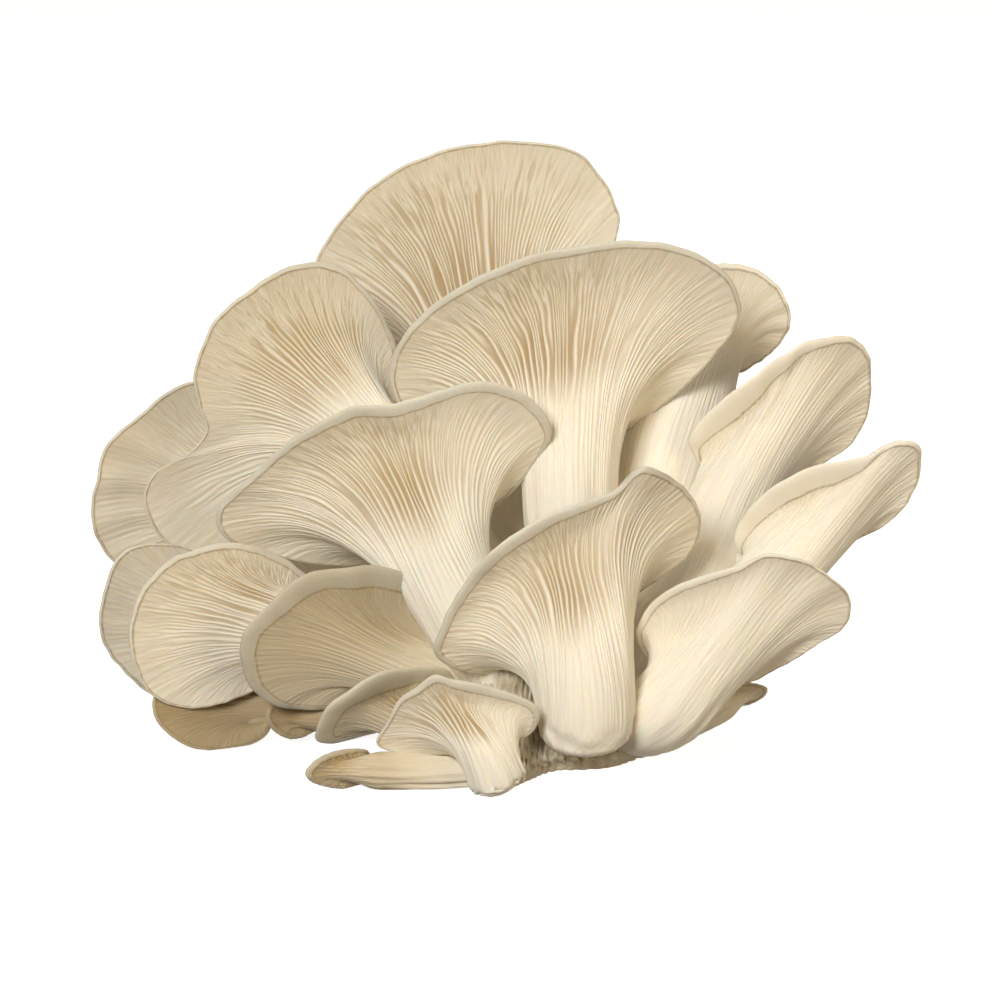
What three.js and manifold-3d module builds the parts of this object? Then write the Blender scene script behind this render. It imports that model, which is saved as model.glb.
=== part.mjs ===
// A cluster of oyster mushrooms grown from one cut base, resting on that cut.
// Lengths are millimetres. +Z is up, +X is to the right of someone who faces the gills and +Y goes away
// from them. The origin is the middle of the flat cut face under the base.
import * as THREE from "three";
import Module from "manifold-3d";

const wasm = await Module();
wasm.setup();

// The cluster is set out as it is seen: right and up across the sight line, and away along it.
// The sight line falls by SIGHT_FALL degrees, and the eye is VIEW_DISTANCE from the front mushroom.
const SIGHT_FALL = 12;
const VIEW_DISTANCE = 1100;
const EYE_LEVEL = 75;
const CUT_FACE_MIDDLE = new THREE.Vector3(10, 62, -1);

// Gap between neighbours, and gap under everything that doesn't rest.
const CLEARANCE = 0.5;
const FLOOR_GAP = 0.6;

// Detail smaller than this along a cut is smoothed away.
const CUT_DETAIL = 0.1;

// Gills: how far each stands out, how many a cap has, and the rows of facets along each.
const GILL_RISE = { large: 1.1, medium: 0.9, small: 0.6 };
const GILL_COUNT = { large: 24, medium: 16, small: 10 };
const GILL_ROWS = { large: 5, medium: 4, small: 3 };

// Where along a gill, from neck to rim, it rises from the stem and where it sinks into the rim.
const GILL_RISES = [-0.15, 0.25];
const GILL_SINKS = [0.8, 1];

// The rim rolls a little towards the gills, and half of its thickness grows with the roll.
const RIM_CURL = 0.1;
const RIM_HALF = 1.3;
const RIM_HALF_GROWTH = 0.2;

// The top of a cap follows the gill side down to this share of the way out, then closes over the funnel.
const FUNNEL_SHARE = 0.6;
const FUNNEL_DIP = 0.05;
const FLESH_GROWTH = 0.8;

// The end of a stem is rounded by this share of its radius.
const ROUND_FOOT = 0.35;

// A column's bearing round the stem lies this far from even steps to the way its rim point lies.
const BEARING_SHARE = 0.5;

// A gill that would turn back along the stem is straightened by this share.
const STRAIGHTENING = 0.85;

// The base: its outline on the floor, and each level's height, share of the outline and shift away.
const BASE_OUTLINE = [
  [8, 17], [16, 25], [27, 29], [34, 42], [46, 58], [50, 76], [38, 92],
  [12, 98], [-14, 93], [-29, 78], [-29, 60], [-18, 44], [-4, 28], [0, 20],
];
const BASE_LEVELS = [
  { height: 0, share: 1, shift: 0 },
  { height: 4, share: 1.02, shift: 0 },
  { height: 12, share: 0.95, shift: 1 },
  { height: 21, share: 0.8, shift: 3 },
  { height: 29, share: 0.55, shift: 5 },
];
const BASE_TOP = 32;
const BASE_COLUMNS = 30;
const BASE_LUMPS = 0.05;
const BASE_LUMP_STEP = 2.4;
const BASE_LUMP_TWIST = 1.7;

const FLESH = new THREE.Color("#efe3c8");
const SHADED_FLESH = new THREE.Color("#dcc9a2");
const TORN_TISSUE = new THREE.Color("#cfc6b2");
const FLESH_ROUGHNESS = 0.6;
const TORN_ROUGHNESS = 0.9;

// Each mushroom: rim is the gill edge as seen, [right, up] in order; heart is the point where the axis
// of the cap meets the plane of the rim; lean tips that plane, so that the rim comes nearer by that share
// of the way right and up. foot, bend and neck guide the stem, and stem gives its radius at foot and neck.
// edge is the width of skin that rolls over the rim: narrowest, widest, and the direction of the widest
// in degrees. flesh is the thickness near the funnel, and flare the pull of stem and rim on each gill.
// They stand in the order in which they are kept whole: each is cut clear of those before it.
const MUSHROOMS = {
  mushroom_front_small: {
    size: "small",
    rim: [
      [8.3, 19.5], [7.5, 22.5], [3, 24.5], [-4, 26.2], [-11, 27.7], [-15.8, 29.3], [-20, 26.7],
      [-24.5, 24], [-27.5, 19], [-30.3, 14.3], [-27, 12.2], [-21, 10.7], [-11, 11.5], [0, 13.8],
      [6, 16],
    ],
    heart: [-10, 18, 8],
    lean: [-0.1, 0.8],
    foot: [-0.6, 4.4, 9],
    bend: [-0.8, 4.9, 8.8],
    neck: [-1, 5.6, 8.5],
    stem: [6.4, 7.2],
    edge: [0.6, 2.6, 70],
    flesh: 3,
    flare: [0.55, 0.4],
  },
  mushroom_front_lying: {
    size: "small",
    rim: [
      [-28, 9.5], [-34, 9], [-40, 8], [-44, 6.5], [-46, 4.5], [-42, 4.5], [-35, 5.5], [-28, 7],
    ],
    heart: [-36, 7, 11],
    lean: [-1, 2.5],
    foot: [4, 9, 22],
    bend: [-17, 7, 13.5],
    neck: [-26, 6.8, 12.5],
    stem: [4.5, 4.2],
    edge: [1.5, 3.5, 100],
    flesh: 2.5,
    flare: [0.45, 0.4],
  },
  mushroom_front_centre: {
    size: "large",
    rim: [
      [49.6, 67.5], [48.8, 72.5], [45, 77.5], [37.5, 81.7], [33.5, 80.5], [28.5, 75.6], [18, 70.7],
      [7.5, 65.2], [-1, 59.2], [-9, 49.5], [-13.5, 41.3], [-14.5, 37.3], [-12, 34.5], [-6, 32.4],
      [4, 33.5], [18, 40], [30, 48.5], [40, 55.5], [47.3, 62],
    ],
    heart: [17, 54, 22],
    lean: [-0.6, 0.9],
    foot: [21.8, 15.5, 21],
    bend: [21.5, 17.5, 20],
    neck: [21.3, 20, 19],
    stem: [10.5, 11.4],
    edge: [0.4, 4, 135],
    flesh: 4.5,
    flare: [0.55, 0.4],
  },
  mushroom_front_right: {
    size: "medium",
    rim: [
      [87.4, 48.5], [85.5, 52.7], [80, 56.7], [73, 59.2], [66, 59.5], [60, 57], [52, 53.6],
      [43.5, 50.7], [38, 45.8], [35, 39.5], [38, 33.5], [50, 29.5], [62, 29.5], [70, 33.3], [79, 38.7],
      [85.5, 43],
    ],
    heart: [58, 42, 24],
    lean: [0, 0.85],
    foot: [31, 21, 38],
    bend: [36, 18, 28],
    neck: [39.5, 21.5, 26],
    stem: [8.5, 9.3],
    edge: [0.4, 2, 140],
    flesh: 4.5,
    flare: [0.55, 0.4],
  },
  mushroom_small_hooded: {
    size: "small",
    rim: [
      [-14, 28], [-17.5, 30], [-25, 28], [-31, 26], [-37, 23.5], [-40, 20.5], [-41.7, 16.5],
      [-39, 15.7], [-34, 17], [-26, 20], [-18, 24],
    ],
    heart: [-26, 23, 24],
    lean: [-0.9, 1.2],
    foot: [8, 16, 40],
    bend: [-8, 16, 31],
    neck: [-18, 18, 26],
    stem: [5, 5],
    edge: [1.8, 4, 125],
    flesh: 2.5,
    flare: [0.45, 0.4],
  },
  mushroom_centre_left: {
    size: "large",
    rim: [
      [11, 90], [9.5, 95], [4, 99.8], [-3, 102], [-9, 101.6], [-17, 98.5], [-27, 95.8], [-37, 95],
      [-50, 89.2], [-60, 81], [-67, 74.7], [-69.7, 70.5], [-67.5, 65.5], [-60, 62.2], [-48, 59.7],
      [-37, 59], [-24, 60], [-10, 67], [0, 75], [7, 82.5],
    ],
    heart: [-22, 78, 48],
    lean: [-0.1, 0.85],
    foot: [11, 19, 46],
    bend: [-2, 34, 40],
    neck: [-8, 45, 40],
    stem: [9, 11.5],
    edge: [0.8, 3.8, 92],
    flesh: 4.5,
    flare: [0.45, 0.4],
  },
  mushroom_left_shaded: {
    size: "medium",
    rim: [
      [-16, 42], [-19, 49], [-28, 52.5], [-38, 52.7], [-46, 51.8], [-56, 44.7], [-60, 40.5],
      [-61, 35.5], [-59.3, 29], [-55, 25], [-49, 23.7], [-38, 23.8], [-26, 25.5], [-18, 32],
    ],
    heart: [-30, 38, 44],
    lean: [-0.4, 0.6],
    foot: [11, 22, 48],
    bend: [2, 25, 44],
    neck: [-4, 26.5, 45],
    stem: [8, 9],
    edge: [1.5, 3.6, 110],
    flesh: 4.5,
    flare: [0.45, 0.4],
  },
  mushroom_far_right: {
    size: "medium",
    rim: [
      [105.2, 85], [103.5, 88.4], [98, 87.7], [94, 84.8], [90, 80.6], [84, 77.6], [77, 76],
      [70.5, 71.7], [64, 66], [60.5, 61.5], [66, 57.5], [77, 58], [86.5, 63.5], [96, 69.3], [102.5, 76],
    ],
    heart: [80, 68, 46],
    lean: [-0.2, 0.8],
    foot: [35, 20, 48],
    bend: [52, 37, 44],
    neck: [62, 49, 44],
    stem: [8, 9],
    edge: [0.4, 6, 135],
    flesh: 4.5,
    flare: [0.45, 0.4],
  },
  mushroom_upper_large: {
    size: "large",
    rim: [
      [59.3, 122], [56.5, 130], [48, 135.5], [35, 138], [20, 136.3], [5, 133], [-8, 127.2],
      [-18, 120.5], [-24.5, 112.5], [-26, 103], [-20, 95], [-3, 90], [15, 89], [30, 91.8], [45, 102.5],
      [56, 114.5],
    ],
    heart: [20, 106, 62],
    lean: [0, 0.8],
    foot: [24, 25, 58],
    bend: [18, 52, 54],
    neck: [17.5, 76, 54],
    stem: [10, 12.5],
    edge: [0.5, 2.3, 110],
    flesh: 4.5,
    flare: [0.45, 0.4],
  },
  mushroom_right_upper: {
    size: "medium",
    rim: [
      [93, 104], [91.7, 110.5], [87.5, 114], [82, 113.4], [75, 109], [68, 102.5], [60, 96], [53, 91.2],
      [50, 87], [53, 80.5], [62, 77.5], [72, 79], [82, 83.5], [89.5, 90], [92.5, 97.5],
    ],
    heart: [68, 90, 64],
    lean: [-0.4, 0.8],
    foot: [33, 22, 54],
    bend: [45, 48, 56],
    neck: [50, 64, 60],
    stem: [10, 12],
    edge: [0.4, 6.5, 135],
    flesh: 4.5,
    flare: [0.45, 0.4],
  },
  mushroom_left_round: {
    size: "medium",
    rim: [
      [-40, 43], [-46, 52], [-55, 59], [-65, 62.5], [-75, 61.5], [-83, 58], [-89, 51], [-91.7, 41.5],
      [-90.5, 33], [-86.5, 26.5], [-79.5, 23.5], [-71, 24], [-60, 28], [-47, 33],
    ],
    heart: [-58, 44, 60],
    lean: [-0.5, 0.25],
    foot: [8, 23, 60],
    bend: [-22, 31, 58],
    neck: [-37, 38, 56],
    stem: [7, 8.5],
    edge: [0.6, 2, 90],
    flesh: 4.5,
    flare: [0.45, 0.4],
  },
  mushroom_left_button: {
    size: "small",
    rim: [
      [-57, 22], [-56, 18.5], [-52, 16.2], [-47.5, 17.2], [-45, 20], [-46, 25], [-52, 27],
    ],
    heart: [-50, 21, 52],
    lean: [-0.4, 0.2],
    foot: [5, 19, 57],
    bend: [-25, 21, 55],
    neck: [-43, 21, 53],
    stem: [4, 4],
    edge: [0.8, 1.4, 200],
    flesh: 1.5,
    flare: [0.45, 0.4],
  },
  mushroom_left_bottom: {
    size: "small",
    rim: [
      [-57, 22], [-59, 16.5], [-66, 13.6], [-75, 13.4], [-81, 16], [-85.5, 21], [-85, 27], [-77, 31],
      [-65, 30.5], [-58, 27.5],
    ],
    heart: [-66, 25, 62],
    lean: [-0.5, -0.1],
    foot: [5, 22, 62],
    bend: [-25, 25, 62],
    neck: [-50, 26, 62],
    stem: [6, 6.5],
    edge: [0.7, 0.9, 200],
    flesh: 2.5,
    flare: [0.45, 0.4],
  },
  mushroom_right_button: {
    size: "small",
    rim: [
      [65.5, 28], [65.5, 26], [62, 24.3], [58, 24.3], [56, 26], [60, 28.5],
    ],
    heart: [60, 26, 44],
    lean: [0.5, 0.3],
    foot: [40, 16, 50],
    bend: [50, 19, 45],
    neck: [56, 23, 44],
    stem: [3, 3],
    edge: [0.8, 1.2, 120],
    flesh: 1.5,
    flare: [0.45, 0.4],
  },
  mushroom_upper_left: {
    size: "large",
    rim: [
      [-28, 104], [-28.5, 114], [-33, 125], [-41, 132], [-51, 132.5], [-63, 126], [-71.5, 118],
      [-75.8, 107], [-74.5, 98], [-73, 91.5], [-78, 86], [-85.5, 82], [-88.3, 75.5], [-86, 68],
      [-79, 62], [-65, 57], [-45, 60], [-31, 76], [-27.5, 92],
    ],
    heart: [-42, 98, 74],
    lean: [-0.35, 0.4],
    foot: [14, 25, 62],
    bend: [-10, 57, 66],
    neck: [-25, 82, 70],
    stem: [8, 10],
    edge: [0.7, 1.9, 40],
    flesh: 4.5,
    flare: [0.45, 0.4],
  },
  mushroom_back_right: {
    size: "medium",
    rim: [
      [72, 120.5], [70, 126.3], [65.5, 130.5], [60, 132.4], [53, 132], [46, 127], [42, 118], [47, 109],
      [57, 106.5], [65.5, 110.5], [70.5, 115.5],
    ],
    heart: [56, 118, 88],
    lean: [0.25, 0.45],
    foot: [28, 26, 66],
    bend: [35, 65, 74],
    neck: [43, 90, 80],
    stem: [10, 12],
    edge: [0.6, 1.6, 110],
    flesh: 4.5,
    flare: [0.45, 0.4],
  },
  mushroom_top_back: {
    size: "large",
    rim: [
      [29, 141], [28.3, 149], [25, 155], [18, 162], [3, 164], [-13, 162], [-28, 155.5], [-39, 145],
      [-46, 132], [-44, 117], [-25, 107], [0, 105], [20, 116],
    ],
    heart: [-1, 120, 100],
    lean: [0, 0.35],
    foot: [17, 28, 78],
    bend: [9, 60, 84],
    neck: [2, 86, 88],
    stem: [9, 11],
    edge: [0.5, 0.8, 120],
    flesh: 4.5,
    flare: [0.45, 0.4],
  },
  mushroom_far_left: {
    size: "medium",
    rim: [
      [-76, 104], [-84, 100.5], [-90, 95], [-97, 89.5], [-100, 81], [-101.5, 71], [-99, 63.5],
      [-94, 58.5], [-86, 55.5], [-73, 56], [-60, 64], [-53, 80], [-57, 96], [-66, 104],
    ],
    heart: [-66, 80, 92],
    lean: [-0.5, 0.3],
    foot: [12, 28, 72],
    bend: [-20, 49, 80],
    neck: [-42, 66, 86],
    stem: [8, 9],
    edge: [0.7, 0.9, 120],
    flesh: 4.5,
    flare: [0.45, 0.4],
  },
  mushroom_far_left_low: {
    size: "medium",
    rim: [
      [-95, 60], [-98, 53], [-99.5, 44], [-97.5, 37.5], [-92, 31], [-86, 26.5], [-76, 25], [-65, 30],
      [-59, 42], [-64, 55], [-76, 62], [-88, 63.5],
    ],
    heart: [-68, 43, 84],
    lean: [-0.5, 0.2],
    foot: [10, 27, 70],
    bend: [-20, 34, 76],
    neck: [-46, 38, 80],
    stem: [7, 8],
    edge: [0.7, 0.9, 120],
    flesh: 4.5,
    flare: [0.45, 0.4],
  },
};

const RIGHT = new THREE.Vector3(1, 0, 0);
const fall = THREE.MathUtils.degToRad(SIGHT_FALL);
const UP = new THREE.Vector3(0, Math.sin(fall), Math.cos(fall));
const AWAY = new THREE.Vector3(0, Math.cos(fall), -Math.sin(fall));

// A point given as seen, in the frame of the part.
function place([right, up, away]) {
  const spread = 1 + away / VIEW_DISTANCE;
  return new THREE.Vector3()
    .addScaledVector(RIGHT, right * spread)
    .addScaledVector(UP, (up - EYE_LEVEL) * spread + EYE_LEVEL)
    .addScaledVector(AWAY, away)
    .sub(CUT_FACE_MIDDLE);
}

// A vector without its share along a unit direction.
function squareTo(vector, direction) {
  return vector.clone().addScaledVector(direction, -vector.dot(direction));
}

// The point at w on the curve pulled from a towards b and c to d.
function pulled(a, b, c, d, w) {
  const u = 1 - w;
  return new THREE.Vector3()
    .addScaledVector(a, u * u * u)
    .addScaledVector(b, 3 * u * u * w)
    .addScaledVector(c, 3 * u * w * w)
    .addScaledVector(d, w * w * w);
}

function middleOf(points) {
  const sum = new THREE.Vector3();
  for (const point of points) {
    sum.add(point);
  }
  return sum.divideScalar(points.length);
}

// The even columns of a ring.
function halved(ring) {
  return ring.filter((point, i) => i % 2 === 0);
}

// Gills stand out fully between the neck and the rim and fade at both.
function gillFade(w) {
  const risen = THREE.MathUtils.smoothstep(w, ...GILL_RISES);
  const sunk = THREE.MathUtils.smoothstep(w, ...GILL_SINKS);
  return risen * (1 - sunk);
}

// The rings of points from foot to funnel, with the point that closes each end.
function mushroomRings(recipe, rise) {
  const columns = 2 * GILL_COUNT[recipe.size];
  const rows = GILL_ROWS[recipe.size];
  const [heartRight, heartUp, heartAway] = recipe.heart;
  const [leanRight, leanUp] = recipe.lean;
  const rimPoints = recipe.rim.map(([right, up]) =>
    place([right, up, heartAway - leanRight * (right - heartRight) - leanUp * (up - heartUp)]),
  );
  const rimCurve = new THREE.CatmullRomCurve3(rimPoints, true, "catmullrom", 0.5);
  rimCurve.arcLengthDivisions = 900;
  const lip = rimCurve.getSpacedPoints(columns).slice(0, columns);
  const heart = place(recipe.heart);
  const foot = place(recipe.foot);
  const bend = place(recipe.bend);
  const neck = place(recipe.neck);
  const axis = AWAY.clone().addScaledVector(RIGHT, leanRight).addScaledVector(UP, leanUp).normalize();
  const climb = neck.clone().sub(bend).normalize();
  const across = squareTo(RIGHT, climb).normalize();
  const around = climb.clone().cross(across);

  // The bearing of each column round the stem.
  const spokes = lip.map((point) => point.clone().sub(heart));
  const bearings = [];
  for (const spoke of spokes) {
    let angle = Math.atan2(spoke.dot(around), spoke.dot(across));
    const before = bearings.length ? bearings[bearings.length - 1] : angle;
    angle += 2 * Math.PI * Math.round((before - angle) / (2 * Math.PI));
    bearings.push(angle);
  }
  const turn = Math.sign(bearings[columns - 1] - bearings[0]);
  const step = (turn * 2 * Math.PI) / columns;
  const lag = bearings.reduce((sum, angle, i) => sum + angle - i * step, 0) / columns;
  const bearing = bearings.map((angle, i) => {
    const even = i * step + lag;
    return even + BEARING_SHARE * (angle - even);
  });

  function stemRing(w, thin, sink) {
    const middle = new THREE.Vector3()
      .addScaledVector(foot, (1 - w) * (1 - w))
      .addScaledVector(bend, 2 * (1 - w) * w)
      .addScaledVector(neck, w * w);
    const along = bend.clone().sub(foot).multiplyScalar(1 - w);
    along.addScaledVector(neck.clone().sub(bend), w).normalize();
    const first = squareTo(across, along).normalize();
    const second = along.clone().cross(first);
    const radius = thin * (recipe.stem[0] + (recipe.stem[1] - recipe.stem[0]) * w);
    middle.addScaledVector(along, -sink);
    return bearing.map((angle) =>
      middle
        .clone()
        .addScaledVector(first, radius * Math.cos(angle))
        .addScaledVector(second, radius * Math.sin(angle)),
    );
  }

  const neckRing = stemRing(1, 1, 0);
  const outward = spokes.map((spoke) =>
    squareTo(spoke, axis).normalize().addScaledVector(axis, -RIM_CURL).normalize(),
  );
  const leaving = outward.map((direction) =>
    direction.clone().addScaledVector(climb, -STRAIGHTENING * Math.min(0, direction.dot(climb))).normalize(),
  );

  function gillPoint(i, w) {
    const k = (i + columns) % columns;
    const reach = lip[k].distanceTo(neckRing[k]);
    const start = neckRing[k].clone().addScaledVector(climb, recipe.flare[0] * reach);
    const end = lip[k].clone().addScaledVector(leaving[k], -recipe.flare[1] * reach);
    return pulled(neckRing[k], start, end, lip[k], w);
  }

  function gillNormal(i, w) {
    const along = gillPoint(i, w).sub(gillPoint(i, w - 0.02));
    return gillPoint(i + 1, w).sub(gillPoint(i - 1, w)).cross(along).normalize();
  }

  // Which way that normal has to point to go into the flesh.
  let agreement = 0;
  for (let i = 0; i < columns; i++) {
    agreement += gillNormal(i, 1).dot(axis);
  }
  const inward = Math.sign(agreement);

  const [narrow, wide, facing] = recipe.edge;
  const roll = spokes.map((spoke) => {
    const seen = Math.atan2(spoke.dot(UP), spoke.dot(RIGHT));
    const nearness = (1 + Math.cos(seen - THREE.MathUtils.degToRad(facing))) / 2;
    return narrow + (wide - narrow) * nearness * nearness;
  });
  const half = roll.map((width) => Math.min(width, RIM_HALF + RIM_HALF_GROWTH * width));

  function gillRing(w) {
    return lip.map((point, i) => {
      const stand = i % 2 === 0 ? rise * gillFade(w) : 0;
      return gillPoint(i, w).addScaledVector(gillNormal(i, w), -inward * stand);
    });
  }

  function rimRing(angle) {
    return lip.map((point, i) =>
      point
        .clone()
        .addScaledVector(outward[i], roll[i] * Math.sin(angle))
        .addScaledVector(axis, half[i] * (1 - Math.cos(angle))),
    );
  }

  function topRing(w) {
    const share = Math.pow((1 - w) / (1 - FUNNEL_SHARE), FLESH_GROWTH);
    return lip.map((point, i) => {
      const thickness = 2 * half[i] + (recipe.flesh - 2 * half[i]) * share;
      return gillPoint(i, w).addScaledVector(gillNormal(i, w), inward * thickness);
    });
  }

  const rings = [];
  rings.push(halved(stemRing(0, 0.7, 0.7 * ROUND_FOOT * recipe.stem[0])));
  rings.push(halved(stemRing(0, 1, 0)));
  rings.push(halved(stemRing(0.5, 1, 0)));
  for (let row = 0; row < rows; row++) {
    rings.push(gillRing(row / rows));
  }
  rings.push(lip);
  rings.push(rimRing(Math.PI / 2));
  rings.push(rimRing(Math.PI));
  rings.push(halved(topRing(0.5 + 0.5 * FUNNEL_SHARE)));
  const funnel = halved(topRing(FUNNEL_SHARE));
  rings.push(funnel);
  const middle = middleOf(funnel);
  const radius = funnel.reduce((sum, point) => sum + point.distanceTo(middle), 0) / funnel.length;
  const top = middle.addScaledVector(climb, -FUNNEL_DIP * radius);
  const start = bend.clone().sub(foot).normalize();
  const bottom = foot.clone().addScaledVector(start, -ROUND_FOOT * recipe.stem[0]);
  return { bottom, rings, top };
}

// One closed surface through the rings; a ring has as many points as its neighbour, half or double.
function skin({ bottom, rings, top }) {
  const positions = [];
  const index = [];
  const push = (point) => positions.push(point.x, point.y, point.z) / 3 - 1;
  const bottomAt = push(bottom);
  const numbered = rings.map((ring) => ring.map(push));
  const topAt = push(top);
  const first = numbered[0];
  const last = numbered[numbered.length - 1];
  for (let i = 0; i < first.length; i++) {
    index.push(bottomAt, first[(i + 1) % first.length], first[i]);
  }
  for (let r = 0; r + 1 < numbered.length; r++) {
    const low = numbered[r];
    const high = numbered[r + 1];
    const spans = Math.min(low.length, high.length);
    const lowStep = low.length / spans;
    const highStep = high.length / spans;
    for (let i = 0; i < spans; i++) {
      const a = low[i * lowStep];
      const b = low[((i + 1) * lowStep) % low.length];
      const c = high[i * highStep];
      const d = high[((i + 1) * highStep) % high.length];
      if (lowStep === 2) {
        const m = low[i * 2 + 1];
        index.push(a, m, c, m, d, c, m, b, d);
      } else if (highStep === 2) {
        const m = high[i * 2 + 1];
        index.push(a, m, c, a, b, m, b, d, m);
      } else {
        index.push(a, b, d, a, d, c);
      }
    }
  }
  for (let i = 0; i < last.length; i++) {
    index.push(topAt, last[i], last[(i + 1) % last.length]);
  }
  return facingOut(positions, index);
}

// The surface as a geometry whose faces point out of the flesh.
function facingOut(positions, index) {
  const geometry = new THREE.BufferGeometry();
  geometry.setAttribute("position", new THREE.Float32BufferAttribute(positions, 3));
  const corner = (i) => new THREE.Vector3().fromArray(positions, 3 * index[i]);
  let volume = 0;
  for (let i = 0; i < index.length; i += 3) {
    volume += corner(i).dot(corner(i + 1).cross(corner(i + 2)));
  }
  if (volume < 0) {
    for (let i = 0; i < index.length; i += 3) {
      [index[i + 1], index[i + 2]] = [index[i + 2], index[i + 1]];
    }
  }
  geometry.setIndex(index);
  geometry.computeVertexNormals();
  return geometry;
}

// The same surface moved out along its normals.
function grown(geometry, distance) {
  const swollen = geometry.clone();
  const position = swollen.getAttribute("position");
  const normal = swollen.getAttribute("normal");
  for (let i = 0; i < position.count; i++) {
    position.setXYZ(
      i,
      position.getX(i) + distance * normal.getX(i),
      position.getY(i) + distance * normal.getY(i),
      position.getZ(i) + distance * normal.getZ(i),
    );
  }
  return swollen;
}

function solidOf(geometry) {
  const vertProperties = new Float32Array(geometry.getAttribute("position").array);
  const triVerts = new Uint32Array(geometry.getIndex().array);
  return new wasm.Manifold(new wasm.Mesh({ numProp: 3, vertProperties, triVerts }));
}

// The largest body of a solid: a scrap that a cut has parted from the rest is dropped.
function largestBody(solid) {
  const bodies = solid.simplify(CUT_DETAIL).decompose();
  bodies.sort((a, b) => b.volume() - a.volume());
  return bodies[0];
}

function meshOf(name, solid, color, roughness) {
  const cut = solid.getMesh();
  const geometry = new THREE.BufferGeometry();
  geometry.setAttribute("position", new THREE.BufferAttribute(cut.vertProperties.slice(), 3));
  geometry.setIndex(new THREE.BufferAttribute(cut.triVerts.slice(), 1));
  geometry.computeVertexNormals();
  const material = new THREE.MeshStandardMaterial({ color, roughness, metalness: 0 });
  const mesh = new THREE.Mesh(geometry, material);
  mesh.name = name;
  return mesh;
}

// The base: the outline drawn in and moved away level by level, with low lumps round its side.
function baseGeometry() {
  const corners = BASE_OUTLINE.map(([x, y]) => new THREE.Vector3(x, y, 0).sub(CUT_FACE_MIDDLE).setZ(0));
  const outline = new THREE.CatmullRomCurve3(corners, true, "catmullrom", 0.5);
  const edge = outline.getSpacedPoints(BASE_COLUMNS).slice(0, BASE_COLUMNS);
  const rings = BASE_LEVELS.map(({ height, share, shift }, level) =>
    edge.map((point, i) => {
      const lump = 1 + (level ? BASE_LUMPS * Math.sin(BASE_LUMP_STEP * i + BASE_LUMP_TWIST * level) : 0);
      return new THREE.Vector3(point.x * share * lump, point.y * share * lump + shift, height);
    }),
  );
  const shift = BASE_LEVELS[BASE_LEVELS.length - 1].shift;
  return skin({ bottom: new THREE.Vector3(), rings, top: new THREE.Vector3(0, shift, BASE_TOP) });
}

const group = new THREE.Group();
const cutters = [];
const base = baseGeometry();

// The base is kept whole but for the mushrooms in front of it.
const IN_FRONT_OF_BASE = 4;
for (const [name, recipe] of Object.entries(MUSHROOMS)) {
  if (cutters.length === IN_FRONT_OF_BASE) {
    const rest = cutters.reduce((solid, cutter) => solid.subtract(cutter), solidOf(base));
    group.add(meshOf("cluster_base", largestBody(rest), TORN_TISSUE, TORN_ROUGHNESS));
    cutters.push(solidOf(grown(base, CLEARANCE)));
  }
  const rise = GILL_RISE[recipe.size];
  const whole = solidOf(skin(mushroomRings(recipe, rise))).trimByPlane([0, 0, 1], FLOOR_GAP);
  const clear = cutters.reduce((solid, cutter) => solid.subtract(cutter), whole);
  const color = FLESH.clone().lerp(SHADED_FLESH, recipe.heart[2] / 100);
  group.add(meshOf(name, largestBody(clear), color, FLESH_ROUGHNESS));
  cutters.push(solidOf(grown(skin(mushroomRings(recipe, 0)), rise + CLEARANCE)).add(whole));
}

export default group;
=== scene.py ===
"""Oyster mushroom cluster: the looks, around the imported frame.

Lengths are millimetres until a mesh is made, when MM turns them into metres. The frame is the part's
own: +Z up, +X to the right of someone who faces the gills, +Y away from them, and the origin in the
middle of the cut face under the base.
"""
import math

import bpy
import numpy as np
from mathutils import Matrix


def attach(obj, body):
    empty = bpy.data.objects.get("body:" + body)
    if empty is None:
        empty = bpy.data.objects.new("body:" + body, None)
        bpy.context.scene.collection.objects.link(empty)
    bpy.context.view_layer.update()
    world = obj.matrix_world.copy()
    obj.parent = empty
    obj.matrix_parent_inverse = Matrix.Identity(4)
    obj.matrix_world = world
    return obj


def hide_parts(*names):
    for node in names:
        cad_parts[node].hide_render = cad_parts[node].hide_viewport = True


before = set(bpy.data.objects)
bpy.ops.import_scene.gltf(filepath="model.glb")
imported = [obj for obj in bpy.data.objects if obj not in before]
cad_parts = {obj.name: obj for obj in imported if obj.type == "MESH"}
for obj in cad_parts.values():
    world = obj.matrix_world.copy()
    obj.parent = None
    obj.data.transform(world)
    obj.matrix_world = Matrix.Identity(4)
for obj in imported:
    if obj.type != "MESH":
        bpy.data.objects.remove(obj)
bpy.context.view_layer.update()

MM = 0.001

# The cluster is set out as it is seen: right and up across the sight line, and away along it.
SIGHT_FALL = 12
VIEW_DISTANCE = 1100
EYE_LEVEL = 75
PICTURE_WIDTH = 250
SENSOR_WIDTH = 36
CUT_FACE_MIDDLE = np.array([10, 62, -1])

FALL = math.radians(SIGHT_FALL)
RIGHT = np.array([1, 0, 0])
UP = np.array([0, math.sin(FALL), math.cos(FALL)])
AWAY = np.array([0, math.cos(FALL), -math.sin(FALL)])

# Columns round a mushroom, rows of each stretch of its surface, and how far its gills stand out.
COLUMNS = {"large": 1200, "medium": 800, "small": 480}
GILL_ROWS = {"large": 43, "medium": 38, "small": 31}
GILL_RISE = {"large": 0.7, "medium": 0.6, "small": 0.4}
STEM_ROWS = 16
FOOT_ROWS = 4
RIM_ROWS = 8
TOP_ROWS = 12
FUNNEL_ROWS = 5

# A stem needs half of the columns of the gills, and the smooth top a quarter.
STEM_SHARE = 2
TOP_SHARE = 4

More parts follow.
